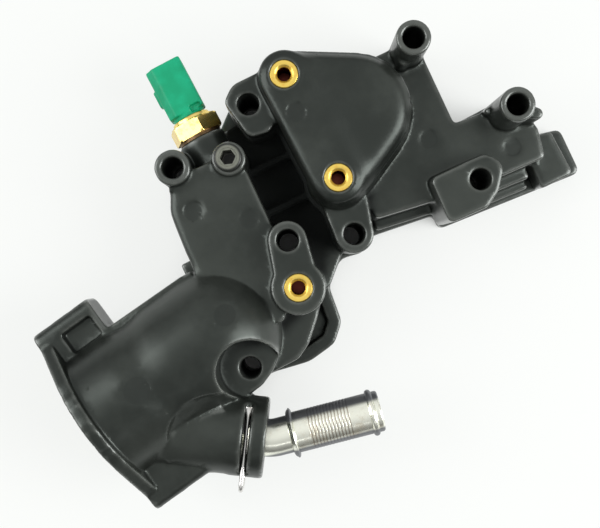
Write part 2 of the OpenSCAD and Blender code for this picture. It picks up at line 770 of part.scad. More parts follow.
module wax_capsule() {
    color([0.8, 0.55, 0.3])
    at_mouth() difference() {
        union() {
            translate([0, 0, flange_in - capsule_neck_rise])
                cylinder(r = capsule_neck_r, h = capsule_neck_len);
            translate([0, 0, capsule_from]) cylinder(r = capsule_r, h = capsule_end - capsule_from);
            translate([0, 0, capsule_end - eps]) cylinder(r = stem_r, h = stem_end - capsule_end);
            translate([0, 0, bypass_s + bypass_t])
                cylinder(r = stem_r + 1.1, h = stem_end - bypass_s - bypass_t);
        }
        translate([0, 0, flange_in - capsule_neck_rise - 1])
            cylinder(r = pin_r + run, h = pin_end + run - flange_in + capsule_neck_rise + 1);
    }
}

module valve_disc() {
    color([0.72, 0.7, 0.64])
    at_mouth() difference() {
        union() {
            translate([0, 0, flange_in + 0.1]) cylinder(r = valve_r, h = valve_t);
            translate([0, 0, flange_in + 0.2]) cylinder(r = capsule_neck_r + 2, h = valve_hub_h);
        }
        translate([0, 0, flange_in - 1]) cylinder(r = capsule_neck_r, h = valve_hub_h + 2);
    }
}

// Round wire swept on a helix along Z
module coil(r, wire, low, high, turns) {
    sides = 8;
    steps = ceil(turns * 20);
    last = steps * sides;
    points = [for (i = [0:steps], j = [0:sides - 1])
        let (a = 360 * turns * i / steps, b = 360 * j / sides, d = r + wire / 2 * cos(b))
        [d * cos(a), d * sin(a), low + wire / 2 + (high - low - wire) * i / steps + wire / 2 * sin(b)]];
    skin = [for (i = [0:steps - 1], j = [0:sides - 1])
        let (k = (j + 1) % sides)
        [i * sides + j, i * sides + k, (i + 1) * sides + k, (i + 1) * sides + j]];
    polyhedron(points, concat([[for (j = [sides - 1:-1:0]) j]], skin, [[for (j = [0:sides - 1]) last + j]]),
        convexity = 10);
}

module main_spring() {
    color([0.7, 0.7, 0.72]) at_mouth() coil(main_coil_r, main_wire, valve_in, cage_s, main_turns);
}

module bypass_disc() {
    color([0.75, 0.73, 0.68])
    at_mouth() ring(bypass_r, stem_r, bypass_s, bypass_s + bypass_t);
}

module bypass_spring() {
    color([0.7, 0.7, 0.72]) at_mouth() coil(bypass_coil_r, bypass_wire, capsule_end, bypass_s, bypass_turns);
}

module bleed_screw() {
    color([0.25, 0.26, 0.25])
    translate([bleed_at[0], bleed_at[1], bleed_boss_z]) difference() {
        union() {
            translate([0, 0, bleed_seal_t + 0.1]) cylinder(d = bleed_head_d, h = bleed_head_h);
            translate([0, 0, -bleed_shank_len]) cylinder(r = bleed_hole_r - run, h = bleed_shank_len + 2);
        }
        translate([0, 0, bleed_seal_t + 1.1]) cylinder(d = bleed_key_af / cos(30), h = bleed_head_h, $fn = 6);
    }
}

module bleed_seal() {
    color([0.08, 0.08, 0.09])
    translate([bleed_at[0], bleed_at[1], bleed_boss_z])
        ring(bleed_head_d / 2 - 0.3, bleed_hole_r, 0, bleed_seal_t);
}

front_housing();
rear_cover();
head_seal();
brass_inserts();
sensor_body();
sensor_connector();
sensor_pins();
sensor_seal();
stub_pipe();
pipe_seal();
pipe_clip();
thermostat_seal();
thermostat_flange();
thermostat_cage();
piston_pin();
wax_capsule();
valve_disc();
main_spring();
bypass_disc();
bypass_spring();
bleed_screw();
bleed_seal();
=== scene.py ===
import json

import bmesh
import bpy
import numpy as np
import openvdb
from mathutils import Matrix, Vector


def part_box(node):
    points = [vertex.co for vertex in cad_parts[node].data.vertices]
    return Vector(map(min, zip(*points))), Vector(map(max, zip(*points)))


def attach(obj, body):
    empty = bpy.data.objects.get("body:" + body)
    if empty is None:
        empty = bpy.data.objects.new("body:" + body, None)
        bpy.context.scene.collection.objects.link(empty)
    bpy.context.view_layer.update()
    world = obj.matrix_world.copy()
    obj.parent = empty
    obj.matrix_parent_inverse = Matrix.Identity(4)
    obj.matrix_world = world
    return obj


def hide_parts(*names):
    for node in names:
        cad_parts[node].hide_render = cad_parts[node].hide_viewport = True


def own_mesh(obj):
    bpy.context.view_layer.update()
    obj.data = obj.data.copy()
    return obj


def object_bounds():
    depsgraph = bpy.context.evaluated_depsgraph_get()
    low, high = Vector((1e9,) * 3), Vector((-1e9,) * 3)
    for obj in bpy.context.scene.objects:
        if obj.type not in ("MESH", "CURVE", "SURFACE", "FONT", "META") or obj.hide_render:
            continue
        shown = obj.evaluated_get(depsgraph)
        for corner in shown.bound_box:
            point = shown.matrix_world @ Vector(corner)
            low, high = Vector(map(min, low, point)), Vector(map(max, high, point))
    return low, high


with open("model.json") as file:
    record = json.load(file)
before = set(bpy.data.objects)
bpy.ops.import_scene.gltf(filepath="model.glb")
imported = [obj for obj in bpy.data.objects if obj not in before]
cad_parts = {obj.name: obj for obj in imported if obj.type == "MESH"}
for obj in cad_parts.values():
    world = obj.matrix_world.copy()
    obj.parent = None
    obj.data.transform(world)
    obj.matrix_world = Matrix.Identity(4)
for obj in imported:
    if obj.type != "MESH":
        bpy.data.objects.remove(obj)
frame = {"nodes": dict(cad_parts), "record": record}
cad_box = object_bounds()


# Front housing
# The front shell is one moulding in black glass-filled nylon: thermostat barrel, chamber, dome and arm.
# The mould gives every edge a small radius, and its ejector pins leave round marks on the flats.
mm = 0.001
skin_step = 0.48 * mm
skin_band = 8.0
skin_margin = 8
front_thrift = 0.075
edge_round = 0.58 * mm
edge_reach = 1.95
ejector_depth = 0.4
ejector_rim = 0.16
# The x, y, lowest height and radius of each ejector mark
ejector_marks = [
    (-75.6, -9.4, 40.0, 4.1),
    (-56.8, -21.7, 40.0, 4.0),
    (-22.3, 8.0, 45.0, 4.0),
    (23.7, -22.4, 28.0, 3.9),
    (53.6, -39.9, 28.0, 3.9),
    (-122.9, -64.1, 50.0, 5.4),
    (-80.5, -52.1, 52.0, 4.4),
]
# Boxes of the shell with a larger radius in the mould: low corner, high corner, radius, and whether it
# takes off outer edges (maximum) or fills inner corners (minimum)
round_shoulders = [
    ((-36, -36, 47.2), (22.5, 38, 62), 1.9 * mm, np.maximum),
    ((-128, -97, 40), (-97, -74, 66), 2.4 * mm, np.minimum),
    ((-92, -36, 33), (-70, 2, 52), 1.9 * mm, np.maximum),
]
shoulder_fade = 1.5
insert_clear = 6.6
insert_fade = 1.6
# The deep trench between chamber and dome, from low to high along each axis, in which the nylon's painted
# shade is made deeper
trench = [(-50, -24), (-42, 20), (8, 37)]


def node_triangles(name):
    """A node's corners and triangles, with the corners that share one place made one."""
    mesh = frame["nodes"][name].data
    corners = np.empty((len(mesh.vertices), 3), np.float32)
    mesh.vertices.foreach_get("co", corners.ravel())
    mesh.calc_loop_triangles()
    triangles = np.empty((len(mesh.loop_triangles), 3), np.int32)
    mesh.loop_triangles.foreach_get("vertices", triangles.ravel())
    _, first, place = np.unique(np.round(corners / 1e-6), axis=0, return_index=True, return_inverse=True)
    return corners[first], place.reshape(-1)[triangles].astype(np.int32)


def distance_field(name, step):
    """Distance to the node's surface in steps of a grid, below nought inside, and the grid's low corner."""
    corners, triangles = node_triangles(name)
    level = openvdb.FloatGrid.createLevelSetFromPolygons(
        corners / step, triangles=triangles, halfWidth=skin_band)
    low = np.floor(corners.min(axis=0) / step).astype(int) - skin_margin
    high = np.ceil(corners.max(axis=0) / step).astype(int) + skin_margin
    field = np.empty(tuple(high - low), np.float32)
    level.copyToArray(field, ijk=tuple(low.tolist()))
    return field, low


def blurred(field, spread):
    """The field averaged with a bell curve along each axis in turn, which rounds its edges."""
    reach = int(np.ceil(3 * spread))
    bell = np.exp(-0.5 * (np.arange(-reach, reach + 1) / spread) ** 2)
    bell /= bell.sum()
    for axis in range(3):
        wide = np.pad(field, [(reach, reach) if a == axis else (0, 0) for a in range(3)], mode="edge")
        total = np.zeros_like(field)
        for k, weight in enumerate(bell):
            window = [slice(None)] * 3
            window[axis] = slice(k, k + field.shape[axis])
            total += np.float32(weight) * wide[tuple(window)]
        field = total
    return field


def sampled(field, low, step, points):
    """The field at the points, weighed from the eight grid points around each one."""
    place = points / step - low
    base = np.floor(place).astype(int)
    part = place - base
    total = np.zeros(len(points))
    for corner in np.ndindex(2, 2, 2):
        weight = np.prod(np.where(corner, part, 1 - part), axis=1)
        at = base + np.array(corner)
        total += weight * field[at[:, 0], at[:, 1], at[:, 2]]
    return total


def grid_axes(field, low, step):
    """The x, y and z of the grid's planes in millimetres."""
    return [(low[a] + np.arange(field.shape[a])) * step / mm for a in range(3)]


def pressed_mark(field, low, step, x, y, lowest, radius):
    """A shallow disc: the field rises by the depth inside the radius, above lowest, over a soft rim."""
    axes = grid_axes(field, low, step)
    near_x = np.abs(axes[0] - x) < radius + 2
    near_y = np.abs(axes[1] - y) < radius + 2
    high = axes[2] > lowest
    out = np.hypot(axes[0][near_x][:, None] - x, axes[1][near_y][None, :] - y)
    dip = ejector_depth / (1 + np.exp((out - radius) / ejector_rim))
    field[np.ix_(near_x, near_y, high)] += (dip * mm / step)[:, :, None].astype(np.float32)


def eased(value):
    """A smooth rise from nought to one."""
    value = np.clip(value, 0, 1)
    return value * value * (3 - 2 * value)


def shouldered(field, soft, low, step, lowest, highest, radius, choice):
    """A larger edge radius in a box: the wide average takes over from the box's sides inwards.

    For outer edges all that lies under a surface counts as solid, so that a thin wall isn't worn through.
    """
    axes = grid_axes(field, low, step)
    window = [slice(*np.searchsorted(axes[a], (lowest[a], highest[a]))) for a in range(3)]
    x, y, z = [axes[a][window[a]] for a in range(3)]
    fade = [eased((line - lowest[a]) / shoulder_fade) * eased((highest[a] - line) / shoulder_fade)
            for a, line in enumerate((x, y, z))]
    share = fade[0][:, None, None] * fade[1][None, :, None] * fade[2][None, None, :]
    for at in insert_at:
        away = np.hypot(x[:, None] - at[0], y[None, :] - at[1])
        share = share * eased((away - insert_clear) / insert_fade)[:, :, None]
    near = soft[tuple(window)]
    block = field[tuple(window)]
    if choice is np.maximum:
        block = np.minimum.accumulate(block[:, :, ::-1], axis=2)[:, :, ::-1]
    wide = choice(blurred(block, radius / step), near)
    soft[tuple(window)] = near + share.astype(np.float32) * (wide - near)


def outward(points, faces):
    """The faces in the order that makes the volume they hold, summed from the origin, more than nought."""
    a, b, c = points[faces[:, 0]], points[faces[:, 1]], points[faces[:, 2]]
    volume = np.einsum("ij,ij->i", a, np.cross(b, c)).sum()
    if faces.shape[1] == 4:
        d = points[faces[:, 3]]
        volume += np.einsum("ij,ij->i", a, np.cross(c, d)).sum()
    return faces if volume > 0 else faces[:, ::-1]


def crowding(field, low, step, points, normals):
    """How much solid stands round a point a little off the surface: the wide average of what is inside."""
    off, block, spread, edge = 5 * mm, 2.2 * mm, 3.0, 8
    coarse = max(1, int(round(block / step)))
    cut = [n // coarse * coarse for n in field.shape]
    solid = (field[:cut[0], :cut[1], :cut[2]] < 0).astype(np.float32)
    blocks = [part for n in cut for part in (n // coarse, coarse)]
    solid = np.pad(solid.reshape(blocks).mean(axis=(1, 3, 5)), edge)
    wide = blurred(solid, spread)
    return sampled(wide, (low + (coarse - 1) / 2) / coarse - edge, step * coarse, points + off * normals)


def moulded_skin(name, node, step, rounding, thrift, marks=(), shoulders=(), trim=None):
    """The surface where the node's rounded distance is nought, with how far each point stands on an edge."""
    field, low = distance_field(node, step)
    if trim is not None:
        past = trim(*np.meshgrid(*grid_axes(field, low, step), indexing="ij"))
        field = np.maximum(field, (past * mm / step).astype(np.float32))
    soft = blurred(field, rounding / step)
    for shoulder in shoulders:
        shouldered(field, soft, low, step, *shoulder)
    for mark in marks:
        pressed_mark(soft, low, step, *mark)
    level = openvdb.FloatGrid(skin_band)
    level.copyFromArray(soft, ijk=tuple(low.tolist()))
    points, triangles, quads = level.convertToPolygons(0.0, thrift)
    points = points.astype(np.float64) * step
    fans = np.concatenate([triangles, quads[:, [0, 1, 2]], quads[:, [0, 2, 3]]])
    if not np.array_equal(outward(points, fans), fans):
        triangles, quads = triangles[:, ::-1], quads[:, ::-1]
    mesh = bpy.data.meshes.new(name)
    mesh.from_pydata(points, [], triangles.tolist() + quads.tolist())
    mesh.validate()
    mesh.shade_smooth()
    normals = np.empty(3 * len(mesh.vertices), np.float32)
    mesh.vertex_normals.foreach_get("vector", normals)
    stands = sampled(blurred(field, edge_reach * rounding / step), low, step, points) * step / mm
    crowd = crowding(field, low, step, points, normals.reshape(-1, 3))
    for label, numbers in (("edge", stands), ("crowd", crowd)):
        mesh.attributes.new(label, "FLOAT", "POINT").data.foreach_set("value", numbers.astype(np.float32))
    skin = bpy.data.objects.new(name, mesh)
    bpy.context.scene.collection.objects.link(skin)
    return skin


class Value:
    """A number, colour or vector that changes over a surface; sums on it add Math nodes."""

    def __init__(self, finish, socket):
        self.finish = finish
        self.socket = socket

    def sum(self, operation, first, second):
        return self.finish.node("ShaderNodeMath", {"operation": operation}, {0: first, 1: second})

    def __add__(self, other):
        return self.sum("ADD", self, other)

    __radd__ = __add__

    def __sub__(self, other):
        return self.sum("SUBTRACT", self, other)

    def __rsub__(self, other):
        return self.sum("SUBTRACT", other, self)

    def __mul__(self, other):
        return self.sum("MULTIPLY", self, other)

    __rmul__ = __mul__

    def __truediv__(self, other):
        return self.sum("DIVIDE", self, other)


class Nodes:
    """The nodes of a material or of the light all round, and one method that adds each of them."""

    def __init__(self, owner):
        owner.use_nodes = True
        self.tree = owner.node_tree

    def node(self, kind, settings, inputs, output=0):
        """Adds a node: its settings or a ramp's stops first, then the values or links of its sockets."""
        node = self.tree.nodes.new(kind)
        for key, value in settings.items():
            if key == "stops":
                self.grade(node.color_ramp, value)
            else:
                setattr(node, key, value)
        for key, value in inputs.items():
            self.feed(node.inputs[key], value)
        return Value(self, node.outputs[output])

    def feed(self, socket, value):
        if isinstance(value, Value):
            self.tree.links.new(value.socket, socket)
        else:
            socket.default_value = value

    def grade(self, ramp, stops):
        ramp.interpolation = "EASE"
        for k, (at, colour) in enumerate(stops):
            stop = ramp.elements[k] if k < 2 else ramp.elements.new(at)
            stop.position = at
            stop.color = colour

    def mixed(self, share, first, second):
        return self.node("ShaderNodeMix", {"data_type": "RGBA"}, {0: share, 6: first, 7: second}, 2)


class Finish(Nodes):
    """A material: its shader, and the patterns that its sockets take."""

    def __init__(self, name):
        self.material = bpy.data.materials.new(name)
        super().__init__(self.material)
        self.shader = self.tree.nodes["Principled BSDF"]
        self.output = self.tree.nodes["Material Output"]

    def set(self, **inputs):
        for key, value in inputs.items():
            self.feed(self.shader.inputs[key.replace("_", " ")], value)

    def place(self):
        return self.node("ShaderNodeTexCoord", {}, {}, "Object")

    def along(self, start, way):
        """How far the place lies from a point, measured along a way."""
        offset = self.node("ShaderNodeVectorMath", {"operation": "SUBTRACT"}, {0: self.place(), 1: start})
        return self.node("ShaderNodeVectorMath", {"operation": "DOT_PRODUCT"}, {0: offset, 1: way}, "Value")

    def axis(self, letter):
        """The place's x, y or z in millimetres."""
        return self.node("ShaderNodeSeparateXYZ", {}, {0: self.place()}, letter) / mm

    def off_axis(self, x, y):
        """How far the place lies from an upright axis, in millimetres."""
        flat = self.node("ShaderNodeVectorMath", {"operation": "MULTIPLY"}, {0: self.place(), 1: (1, 1, 0)})
        ends = {0: flat, 1: (x * mm, y * mm, 0)}
        return self.node("ShaderNodeVectorMath", {"operation": "DISTANCE"}, ends, "Value") / mm

    def noise(self, scale, detail, roughness=0.55, stretch=None):
        where = self.place()
        if stretch:
            where = self.node("ShaderNodeMapping", {}, {"Vector": where, "Scale": stretch})
        settings = {"Vector": where, "Scale": scale, "Detail": detail, "Roughness": roughness}
        return self.node("ShaderNodeTexNoise", {}, settings, "Fac")

    def ramp(self, value, low, high):
        """A smooth rise from nought at low to one at high."""
        ends = {"Value": value, "From Min": low, "From Max": high}
        return self.node("ShaderNodeMapRange", {"interpolation_type": "SMOOTHSTEP"}, ends)

    def between(self, value, rise, fall):
        """A smooth rise and fall again, each given by its two ends."""
        return self.ramp(value, *rise) * (1 - self.ramp(value, *fall))

    def bumped(self, height, depth, strength):
        inputs = {"Height": height, "Distance": depth, "Strength": strength}
        return self.node("ShaderNodeBump", {}, inputs, "Normal")


def nylon(name, dark, light, marks=(), deep=None):
    """Black glass-filled nylon: a grey cast from handling, painted shade in nooks, darker discs, and polished
    edges painted paler as a highlight.
    """
    finish = Finish(name)
    grain = finish.noise(2300.0, 2.0)
    smudge = finish.noise(55.0, 4.0, 0.6)
    streak = finish.noise(210.0, 3.0, 0.6)
    haze = finish.noise(24.0, 1.0, 0.5)
    edge = finish.node("ShaderNodeAttribute", {"attribute_name": "edge"}, {}, "Fac")
    crowd = finish.node("ShaderNodeAttribute", {"attribute_name": "crowd"}, {}, "Fac")
    close = crowd + 0.04 * smudge
    # Painted shade: inside the box of the deep trench the nylon is painted darker still
    if deep:
        x, y, z = [finish.between(finish.axis(letter), (low - 1, low + 1), (high - 1, high + 1))
                   for letter, (low, high) in zip("XYZ", deep)]
        close = close + 0.24 * (x * y * z)
    # Painted shade: where much solid stands round a point, the nylon is made rougher and, below, painted
    # nearly black
    nook_shade = finish.ramp(close, 0.32, 0.50)
    # Edges, partly wear and partly painted highlight: they are polished with a coat and painted paler, as if
    # catching the light
    worn = finish.ramp(edge + 0.12 * streak - 0.06, 0.09, 0.36) * (1 - nook_shade)
    tone = finish.mixed(finish.ramp(0.4 * smudge + 0.25 * streak + haze, 0.62, 1.05), dark, light)
    for x, y, _, radius in marks:
        disc = 1 - finish.ramp(finish.off_axis(x, y), radius - 0.5, radius + 0.1)
        tone = finish.mixed(disc * 0.6, tone, (0.004, 0.0045, 0.004, 1))
    # Painted shade: the nooks are painted nearly black
    tone = finish.mixed(nook_shade, tone, (0.002, 0.002, 0.0022, 1))
    # The pale grey mixed onto the edges is a painted highlight as well as wear
    finish.set(
        Base_Color=finish.mixed(worn * 0.5, tone, (0.085, 0.092, 0.082, 1)),
        Roughness=0.25 + 0.12 * smudge + 0.06 * grain - 0.08 * worn + 0.62 * nook_shade,
        Coat_Weight=worn,
        Normal=finish.bumped(grain + 0.5 * streak, 0.03 * mm, 0.4),
    )
    finish.set(IOR=1.52, Specular_Tint=(0.90, 1.0, 0.93, 1), Coat_Roughness=0.22)
    return finish.material


def dressed(piece, material, body, node):
    """Gives a piece its material and its body, and hides the node that it stands for."""
    piece.data.materials.clear()
    piece.data.materials.append(material)
    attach(piece, body)
    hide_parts(node)


mounts = {mount["name"]: mount for mount in frame["record"]["mounts"]}
insert_at = [np.array(m["pos_m"]) / mm for name, m in mounts.items() if name.startswith("insert_")]
front_nylon = nylon(
    "front_nylon", (0.0050, 0.0060, 0.0050, 1), (0.0210, 0.0235, 0.0205, 1), ejector_marks, trench)
front_skin = moulded_skin(
    "front_housing_skin", "front_housing", skin_step, edge_round, front_thrift,
    marks=ejector_marks, shoulders=round_shoulders)
dressed(front_skin, front_nylon, "housing", "front_housing")


# Rear cover
# The back half is a flat moulding in the same nylon, welded to the front shell along the seam.
# It closes the chamber and the arm's trench, and carries the port that sits on the cylinder head.
cover_nylon = nylon("cover_nylon", (0.0050, 0.0058, 0.0050, 1), (0.0190, 0.0210, 0.0185, 1))
cover_thrift = 0.05
cover_skin = moulded_skin("rear_cover_skin", "rear_cover", skin_step, edge_round, cover_thrift)
dressed(cover_skin, cover_nylon, "housing", "rear_cover")


# Rubber seals
# Moulded rings of black rubber sit in grooves: round the head port, on the heater pipe's neck,
# round the thermostat's flange and under the bleed screw's head.
def coat_node(name, material):
    """Puts a material on a node of the frame in place of its own."""
    node = frame["nodes"][name]
    node.data.materials.clear()
    node.data.materials.append(material)
    return node


def rubber():
    """Dull black rubber with a faint bloom and a fine matt grain."""
    finish = Finish("seal_rubber")
    bloom = finish.noise(160.0, 4.0, 0.6)
    grain = finish.noise(3200.0, 2.0)
    black, grey = (0.012, 0.012, 0.013, 1), (0.030, 0.030, 0.031, 1)
    finish.set(
        Base_Color=finish.mixed(finish.ramp(bloom, 0.45, 0.8), black, grey),
        Roughness=0.58 + 0.2 * bloom,
        Normal=finish.bumped(grain, 0.02 * mm, 0.5),
    )
    return finish.material


seal_rubber = rubber()
for seal in ("head_seal", "pipe_seal", "thermostat_seal", "bleed_seal"):
    coat_node(seal, seal_rubber)


# Threaded inserts
# Three turned brass inserts are moulded into the shell's pads, their faces level with the nylon.
# Each has a countersunk mouth and a thread cut down its core, to a closed end.
insert_low, insert_high = (np.array(corner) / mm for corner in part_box("brass_inserts"))
insert_r = 5.5
core_r = 2.7
countersink = 1.0
insert_sides = 72
thread_pitch = 1.0
thread_deep = 0.3
insert_floor = 0.4


def grid_faces(rows, columns, loop_rows):
    """Four-cornered faces between neighbouring points of a grid that closes across its columns."""
    row = np.arange(rows if loop_rows else rows - 1)[:, None]
    column = np.arange(columns)[None, :]
    down = (row + 1) % rows
    across = (column + 1) % columns
    row, down = row * columns, down * columns
    corners = (row + column, row + across, down + across, down + column)
    return np.stack([np.broadcast_to(c, (len(row), columns)) for c in corners], axis=-1).reshape(-1, 4)


sharp_edge = np.radians(32.0)


def made(name, grids, loop_rows=False):
    """One mesh from grids of points in millimetres, each turned outwards, with its seams and poles merged."""
    points, faces, count = [], [], 0
    for grid in grids:
        flat = grid.reshape(-1, 3) * mm
        quads = outward(flat - flat.mean(axis=0), grid_faces(grid.shape[0], grid.shape[1], loop_rows))
        points.append(flat)
        faces.append(quads + count)
        count += len(flat)
    mesh = bpy.data.meshes.new(name)
    mesh.from_pydata(np.concatenate(points), [], np.concatenate(faces).tolist())
    shape = bmesh.new()
    shape.from_mesh(mesh)
    bmesh.ops.remove_doubles(shape, verts=shape.verts, dist=1e-7)
    shape.to_mesh(mesh)
    shape.free()
    mesh.shade_smooth()
    mesh.set_sharp_from_angle(angle=sharp_edge)
    piece = bpy.data.objects.new(name, mesh)
    bpy.context.scene.collection.objects.link(piece)
    return piece


def turned(profile, around, swell):
    """Points of a turned solid: each (radius, height) of the profile and its swell, carried round."""
    angle = np.linspace(0, 2 * np.pi, around, endpoint=False)[None, :]
    radius = np.array([p[0] for p in profile])[:, None]
    height = np.array([p[1] for p in profile])[:, None] + 0 * angle
    radius = radius + swell(height, angle, np.arange(len(profile))[:, None])
    return np.stack([radius * np.cos(angle), radius * np.sin(angle), height], axis=-1)


def insert_points(at):
    """A collar whose core swings out by a saw-tooth of height and angle, which is the thread's helix."""
    top, foot = insert_high[2], insert_low[2]
    rows = np.arange(foot + insert_floor, top - countersink, thread_pitch / 8)
    core = [(core_r, z) for z in rows[::-1]]
    end = [(core_r, foot + insert_floor), (0.0, foot + insert_floor), (0.0, foot)]
    rim = [
        (insert_r, foot), (insert_r, top - 0.25), (insert_r - 0.25, top), (insert_r - 0.9, top),
        (3.75, top), (3.6, top - 0.08), (3.1, top - 0.6), (2.8, top - 0.9),
    ]

    def thread(height, angle, row):
        turn = (height / thread_pitch - angle / (2 * np.pi)) % 1.0
        tooth = np.clip(1.25 - 2.5 * np.abs(turn - 0.5), 0, 1)
        return np.where((row >= len(rim)) & (row < len(rim + core)), thread_deep * tooth, 0.0)

    return turned(rim + core + end, insert_sides, thread) + np.array([at[0], at[1], 0])


def brass(name, clean, stained, rough, shade_below=None):
    """Turned brass: fine lathe lines, brown tarnish in patches and a soft shine, and painted red-brown shade
    below a height.
    """
    finish = Finish(name)
    tarnish = finish.noise(420.0, 4.0, 0.6)
    lines = finish.noise(900.0, 2.0, 0.5, stretch=(1, 1, 9))
    tone = finish.mixed(finish.ramp(tarnish, 0.46, 0.78), clean, stained)
    if shade_below:
        # Painted shade: below the height the brass is painted dark red-brown, for the shade inside a bore
        depth = 1 - finish.ramp(finish.axis("Z"), shade_below - 1.2, shade_below)
        tone = finish.mixed(depth, tone, (0.13, 0.034, 0.024, 1))
    finish.set(
        Base_Color=tone,
        Metallic=1.0,
        Roughness=rough + 0.14 * tarnish,
        Normal=finish.bumped(lines, 0.02 * mm, 0.35),
    )
    return finish.material


# The inserts' threaded bores take the painted shade below their mouths
insert_brass = brass(
    "insert_brass", (0.96, 0.70, 0.16, 1), (0.86, 0.52, 0.10, 1), 0.26, shade_below=insert_high[2] - 0.8)
inserts = made("threaded_inserts", [insert_points(at) for at in insert_at], loop_rows=True)
dressed(inserts, insert_brass, "housing", "brass_inserts")


# Temperature sensor
# A brass sensor body screws into the boss on the chamber's side, with a copper sealing washer under
# its hexagon. A green moulded socket is crimped to it and holds two tinned contacts.
sensor_at = np.array([-61.1, 17.5, 32.0])
sensor_lean = np.radians(2.9)
hexagon_turn = np.radians(105.0)
hexagon_flats = 9.5
hexagon_from = 9.0
sensor_way = np.array([-np.sin(sensor_lean), np.cos(sensor_lean), 0.0])
sensor_side = np.array([np.cos(sensor_lean), np.sin(sensor_lean), 0.0])
front_way = np.array([0.0, 0.0, 1.0])
sensor_sides = 144


def along_sensor(points):
    """Points made about the z axis, carried to the sensor: x to its side, y to the front, z along it."""
    side, front, along = points[..., :1], points[..., 1:2], points[..., 2:]
    return sensor_at + side * sensor_side + front * front_way + along * sensor_way


def hexed(angle, flats, turn):
    """Distance from a hexagon's axis to its flats, each flat's half width over the cosine off its middle."""
    return flats / np.cos((angle - turn + np.pi / 6) % (np.pi / 3) - np.pi / 6)


def sensor_points():
    """A turned stem, hexagon and collar: the hexagon's radius is the lesser of its flats and its chamfer."""
    profile = [
        (0.0, -31.0), (3.2, -31.0), (4.0, -30.2), (4.0, -20.1), (6.0, -20.0), (6.0, 0.0), (6.05, 1.2),
        (9.3, 1.2), (10.5, 1.25), (11.1, 1.7), (11.1, 2.4), (11.1, 4.6), (11.1, 6.6), (11.1, 7.0),
        (10.4, 7.5), (9.4, 7.95), (8.3, 8.0), (8.05, 8.05), (8.0, 8.2), (8.0, 9.2), (7.8, 9.5),
        (6.9, 9.5), (5.0, 9.5), (0.0, 9.5),
    ]

    def flats_cut(height, angle, row):
        radius = np.array([p[0] for p in profile])[row]
        flats = np.minimum(hexed(angle, hexagon_flats, hexagon_turn), radius)
        return np.where(radius > hexagon_from, flats - radius, 0.0)

    return along_sensor(turned(profile, sensor_sides, flats_cut))


sensor_brass = brass("sensor_brass", (0.95, 0.73, 0.24, 1), (0.85, 0.52, 0.11, 1), 0.16)
sensor_body = made("sensor_hexagon", [sensor_points()])
dressed(sensor_body, sensor_brass, "housing", "sensor_body")


def copper():
    """A soft copper washer gone brown, with darker spots."""
    finish = Finish("washer_copper")
    spots = finish.noise(700.0, 3.0)
    brown, dark = (0.16, 0.105, 0.055, 1), (0.08, 0.05, 0.03, 1)
    finish.set(
        Base_Color=finish.mixed(finish.ramp(spots, 0.4, 0.75), brown, dark),
        Metallic=1.0,
        Roughness=0.28 + 0.2 * spots,
    )
    return finish.material


coat_node("sensor_seal", copper())


socket_step = 0.22 * mm
socket_round = 0.3 * mm
socket_thrift = 0.08
socket_bevel = 8.3


def bevelled_side(x, y, z):
    """Distance past a sloping cut that takes the front left edge off the socket."""
    side = (x - sensor_at[0]) * sensor_side[0] + (y - sensor_at[1]) * sensor_side[1]
    front = z - sensor_at[2]
    return (front - side) / np.sqrt(2) - socket_bevel


def green_plastic():
    """Green glass-filled nylon of the sensor's socket: paler flow swirls and a satin face."""
    finish = Finish("socket_green")
    swirl = finish.noise(150.0, 4.0, 0.55)
    grain = finish.noise(2600.0, 2.0)
    deep, pale = (0.001, 0.290, 0.135, 1), (0.003, 0.360, 0.180, 1)
    finish.set(
        Base_Color=finish.mixed(finish.ramp(swirl, 0.35, 0.75), deep, pale),
        Roughness=0.34 + 0.16 * swirl,
        Normal=finish.bumped(grain, 0.02 * mm, 0.4),
        Specular_IOR_Level=0.3,
    )
    return finish.material


socket_green = green_plastic()
socket_skin = moulded_skin(
    "sensor_socket", "sensor_connector", socket_step, socket_round, socket_thrift, trim=bevelled_side)
dressed(socket_skin, socket_green, "housing", "sensor_connector")


def tinned():
    """Tinned brass contacts, pale and softly bright."""
    finish = Finish("contact_tin")
    dull = finish.noise(900.0, 3.0)
    finish.set(
        Base_Color=finish.mixed(dull, (0.78, 0.77, 0.74, 1), (0.62, 0.60, 0.56, 1)),
        Metallic=1.0,
        Roughness=0.22 + 0.18 * dull,
    )
    return finish.material


coat_node("sensor_pins", tinned())


# Heater stub
# A steel tube, bent, beaded and plated, is pushed into the socket on its seal and held by a spring clip.
# Beads stop it at the socket and hold the hose, and fine grip rings are rolled between them.
stub_end = np.array(mounts["hose_stub"]["pos_m"]) / mm
hose_way = np.array(mounts["hose_stub"]["axis"])
hose_across = np.cross(hose_way, front_way)
hose_len = 43.1
hose_from = stub_end - hose_len * hose_way
socket_face = np.array([-88.4, -105.0, 36.0])
socket_way = np.array([0.857167, -0.515038, 0.0])
neck_len = 22
neck_r = 7.7
hose_step = 0.7
step_at = 6.2
step_run = 0.12
rim_deep = 0.5
rim_run = 0.35
bore_r = 6.3
bend_r = 14.0
stub_sides = 72
grip_from = 13.0
grip_to = 30.5
grip_pitch = 1.35
grip_high = 0.06
# Lengths on the hose's straight start at this mark, so that none is taken for one on the neck
hose_mark = 100
# The place, half width and height of each bead
stub_beads = [(hose_mark + 6.1, 1.25, 2.1), (hose_mark + 39.5, 1.3, 1.2), (-10.2, 0.9, 1.9)]


def ways_of(path):
    """The way along a path at each of its points, of length one."""
    way = np.gradient(path, axis=0)
    return way / np.linalg.norm(way, axis=1, keepdims=True)


def ringed(path, side, rise, angle, wide, thin):
    """A ring round each point of a path: wide by the cosine to its side, thin by the sine to its rise."""
    out = wide[:, None, None] * np.cos(angle)[None, :, None] * side[:, None, :]
    return path[:, None, :] + out + thin[:, None, None] * np.sin(angle)[None, :, None] * rise[:, None, :]


